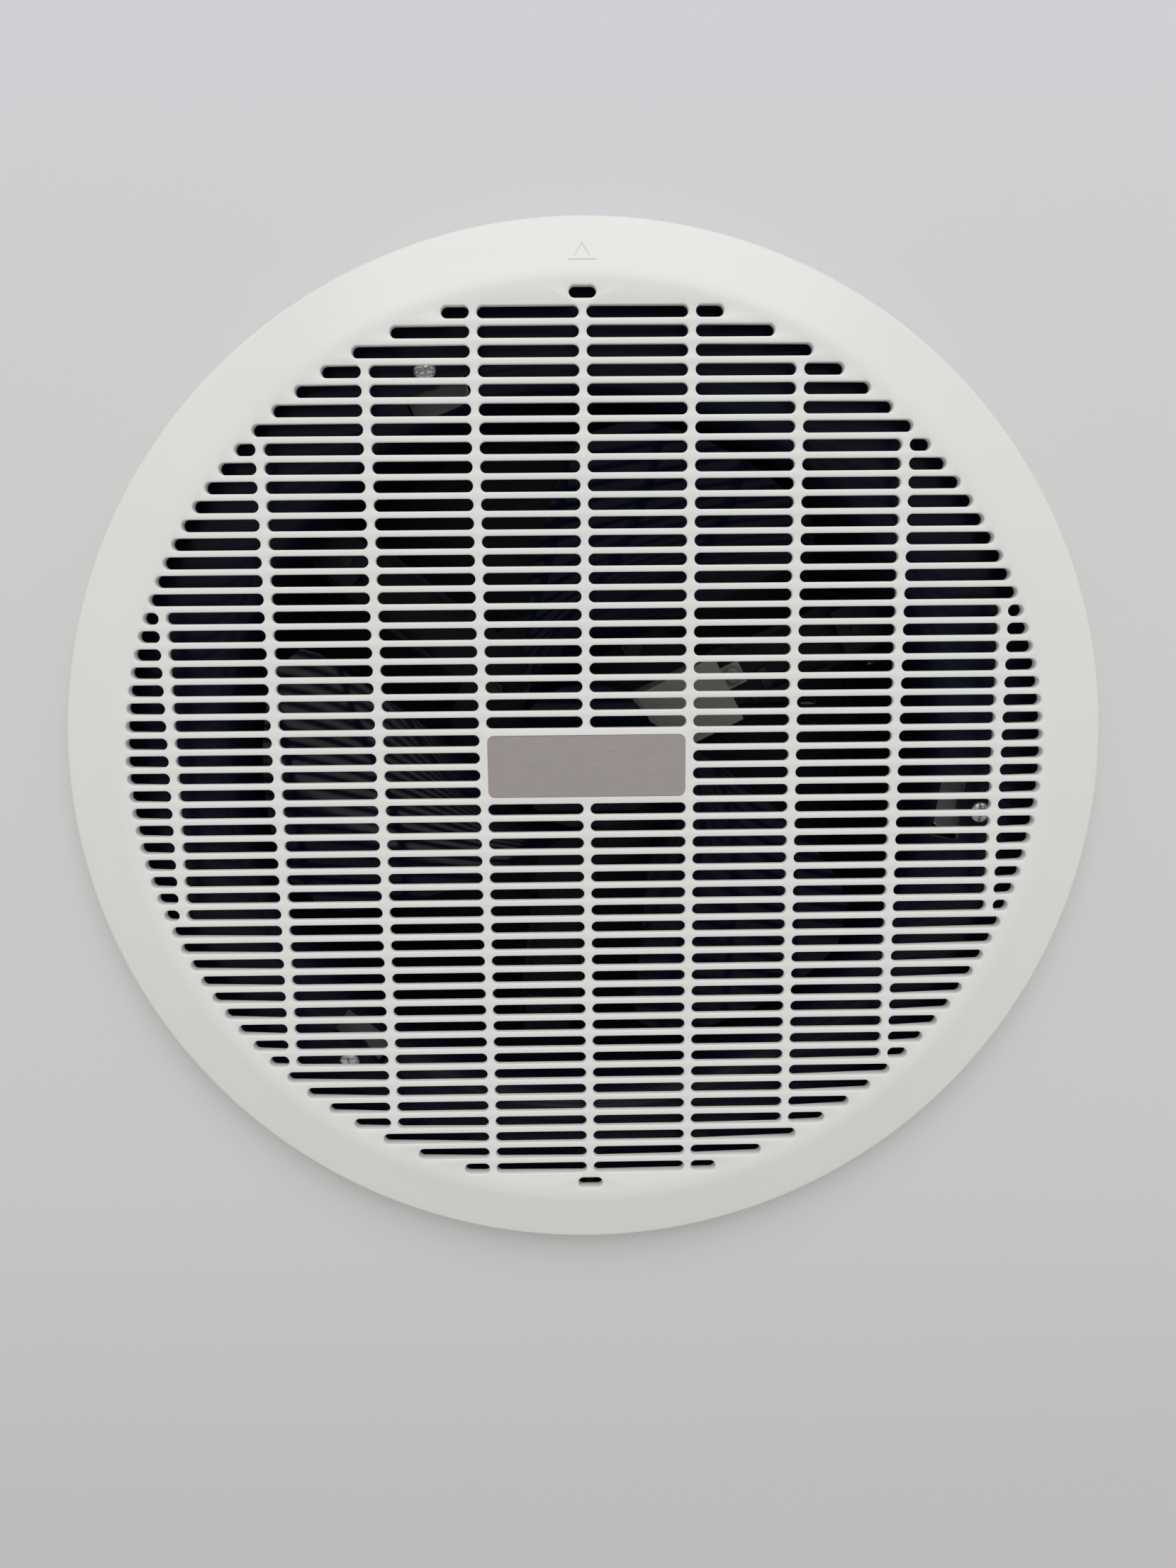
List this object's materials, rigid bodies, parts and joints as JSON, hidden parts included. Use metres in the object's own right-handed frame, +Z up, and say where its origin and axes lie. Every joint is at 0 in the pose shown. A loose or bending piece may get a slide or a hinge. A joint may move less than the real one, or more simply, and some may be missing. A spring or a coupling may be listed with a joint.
{
  "type": "ceiling exhaust fan",
  "caption": "Round ceiling exhaust fan with a white slatted fascia, black bell mouth and drum, paddle-blade impeller, swing-out ceiling clamps, terminal box and damper spigot.",
  "frame": {"origin": "centre of the flange's top face, which bears on the underside of the ceiling", "axes": "+Z up into the roof space along the fan's axis; +X towards the clamp that shows at the right of the picture; +Y towards the picture's bottom edge"},
  "size_m": [0.354, 0.354, 0.15],
  "materials": {
    "fascia_white": "smooth moulded, slightly glossy",
    "plate_silver": "satin silver-grey, bare",
    "black_moulding": "glossy bluish black moulding",
    "black_blade": "glossy black moulding",
    "black_matte": "fine-grained black moulding",
    "dog_grey": "light grey moulding",
    "capacitor_grey": "light grey case",
    "zinc": "bright zinc plate",
    "spring_steel": "plain spring steel",
    "bracket_black": "black powder coat",
    "motor_black": "black painted motor cover",
    "motor_zinc": "zinc-plated pressed cover",
    "lamination": "stacked steel sheets",
    "copper": "varnished copper wire",
    "bronze": "sintered bronze",
    "shaft_steel": "ground steel",
    "black_rubber": "soft black rubber",
    "lead_sheath": "dark grey sheath",
    "core_sheath": "coloured insulation",
    "cap_lead_sheath": "black insulation",
    "tie_nylon": "black nylon",
    "terminal_cream": "cream moulding",
    "terminal_brass": "plated brass",
    "flap_sheet": "black painted sheet",
    "black_steel": "black oxide steel"
  },
  "bodies": {
    "housing": {"bell_mouth": "black_moulding", "drum": "black_matte", "drum_screws": "black_steel", "motor_bracket": "bracket_black", "rubber_mounts": "black_rubber", "mount_spacers": "black_steel", "bracket_screws": "black_steel", "motor_front_cover": "motor_black", "motor_rear_cover": "motor_zinc", "stator_core": "lamination", "stator_winding": "copper", "bearing_front": "bronze", "bearing_rear": "bronze", "motor_bolts": "black_steel", "motor_nuts": "black_steel", "capacitor": "capacitor_grey", "capacitor_screw": "capacitor_grey", "capacitor_leads": "cap_lead_sheath", "motor_lead": "lead_sheath", "lead_cores": "core_sheath", "lead_ties": "tie_nylon", "lead_grommet": "black_rubber", "terminal_box": "black_matte", "box_screws": "zinc", "terminal_block": "terminal_cream", "terminal_screws": "terminal_brass", "terminal_cover": "black_matte", "cover_screws": "zinc", "cable_gland": "black_matte", "gland_nut": "black_matte", "damper_frame": "black_matte", "damper_screws": "zinc", "damper_pin": "shaft_steel"},
    "wheel": {"rotor": "lamination", "shaft": "shaft_steel", "drive_pin": "shaft_steel", "impeller": "black_blade", "impeller_washer": "black_steel", "impeller_nut": "black_steel"},
    "fascia": {"grille": "fascia_white", "nameplate": "plate_silver", "grille_clips": "spring_steel"},
    "flap_1": {"damper_flap_1": "flap_sheet"},
    "flap_2": {"damper_flap_2": "flap_sheet"},
    "screw_1": {"clamp_screw_1": "zinc"},
    "nut_1": {"clamp_nut_1": "zinc"},
    "dog_1": {"clamp_dog_1": "dog_grey"},
    "screw_2": {"clamp_screw_2": "zinc"},
    "nut_2": {"clamp_nut_2": "zinc"},
    "dog_2": {"clamp_dog_2": "dog_grey"},
    "screw_3": {"clamp_screw_3": "zinc"},
    "nut_3": {"clamp_nut_3": "zinc"},
    "dog_3": {"clamp_dog_3": "dog_grey"}
  },
  "joints": [
    {"name": "wheel_spin", "type": "hinge", "parent": "housing", "child": "wheel", "pos_m": [0, 0, 0.05], "axis": [0, 0, 1], "continuous": true},
    {"name": "flap_1_lift", "type": "hinge", "parent": "housing", "child": "flap_1", "pos_m": [0, 0, 0.12], "axis": [1, 0, 0], "range_deg": [0, 75]},
    {"name": "flap_2_lift", "type": "hinge", "parent": "housing", "child": "flap_2", "pos_m": [0, 0, 0.12], "axis": [-1, 0, 0], "range_deg": [0, 75]},
    {"name": "grille_pull", "type": "slide", "parent": "housing", "child": "fascia", "axis": [0, 0, -1], "range_m": [0, 0.05]},
    {"name": "clamp_screw_1_turn", "type": "hinge", "parent": "housing", "child": "screw_1", "pos_m": [0.13952, 0.02035, 0], "axis": [0, 0, 1], "range_deg": [-3857.2, 0]},
    {"name": "clamp_nut_1_climb", "type": "slide", "parent": "housing", "child": "nut_1", "axis": [0, 0, 1], "range_m": [0, 0.015]},
    {"name": "clamp_dog_1_swing", "type": "hinge", "parent": "nut_1", "child": "dog_1", "pos_m": [0.13952, 0.02035, 0.0175], "axis": [0, 0, 1], "range_deg": [-90, 0]},
    {"name": "clamp_screw_2_turn", "type": "hinge", "parent": "housing", "child": "screw_2", "pos_m": [-0.08739, 0.11065, 0], "axis": [0, 0, 1], "range_deg": [-3857.2, 0]},
    {"name": "clamp_nut_2_climb", "type": "slide", "parent": "housing", "child": "nut_2", "axis": [0, 0, 1], "range_m": [0, 0.015]},
    {"name": "clamp_dog_2_swing", "type": "hinge", "parent": "nut_2", "child": "dog_2", "pos_m": [-0.08739, 0.11065, 0.0175], "axis": [0, 0, 1], "range_deg": [-90, 0]},
    {"name": "clamp_screw_3_turn", "type": "hinge", "parent": "housing", "child": "screw_3", "pos_m": [-0.05213, -0.13101, 0], "axis": [0, 0, 1], "range_deg": [-3857.2, 0]},
    {"name": "clamp_nut_3_climb", "type": "slide", "parent": "housing", "child": "nut_3", "axis": [0, 0, 1], "range_m": [0, 0.015]},
    {"name": "clamp_dog_3_swing", "type": "hinge", "parent": "nut_3", "child": "dog_3", "pos_m": [-0.05213, -0.13101, 0.0175], "axis": [0, 0, 1], "range_deg": [-90, 0]}
  ],
  "couplings": [
    {"joint": "clamp_screw_1_turn", "follows": "clamp_nut_1_climb", "rad_per_m": -4488},
    {"joint": "clamp_screw_2_turn", "follows": "clamp_nut_2_climb", "rad_per_m": -4488},
    {"joint": "clamp_screw_3_turn", "follows": "clamp_nut_3_climb", "rad_per_m": -4488}
  ]
}
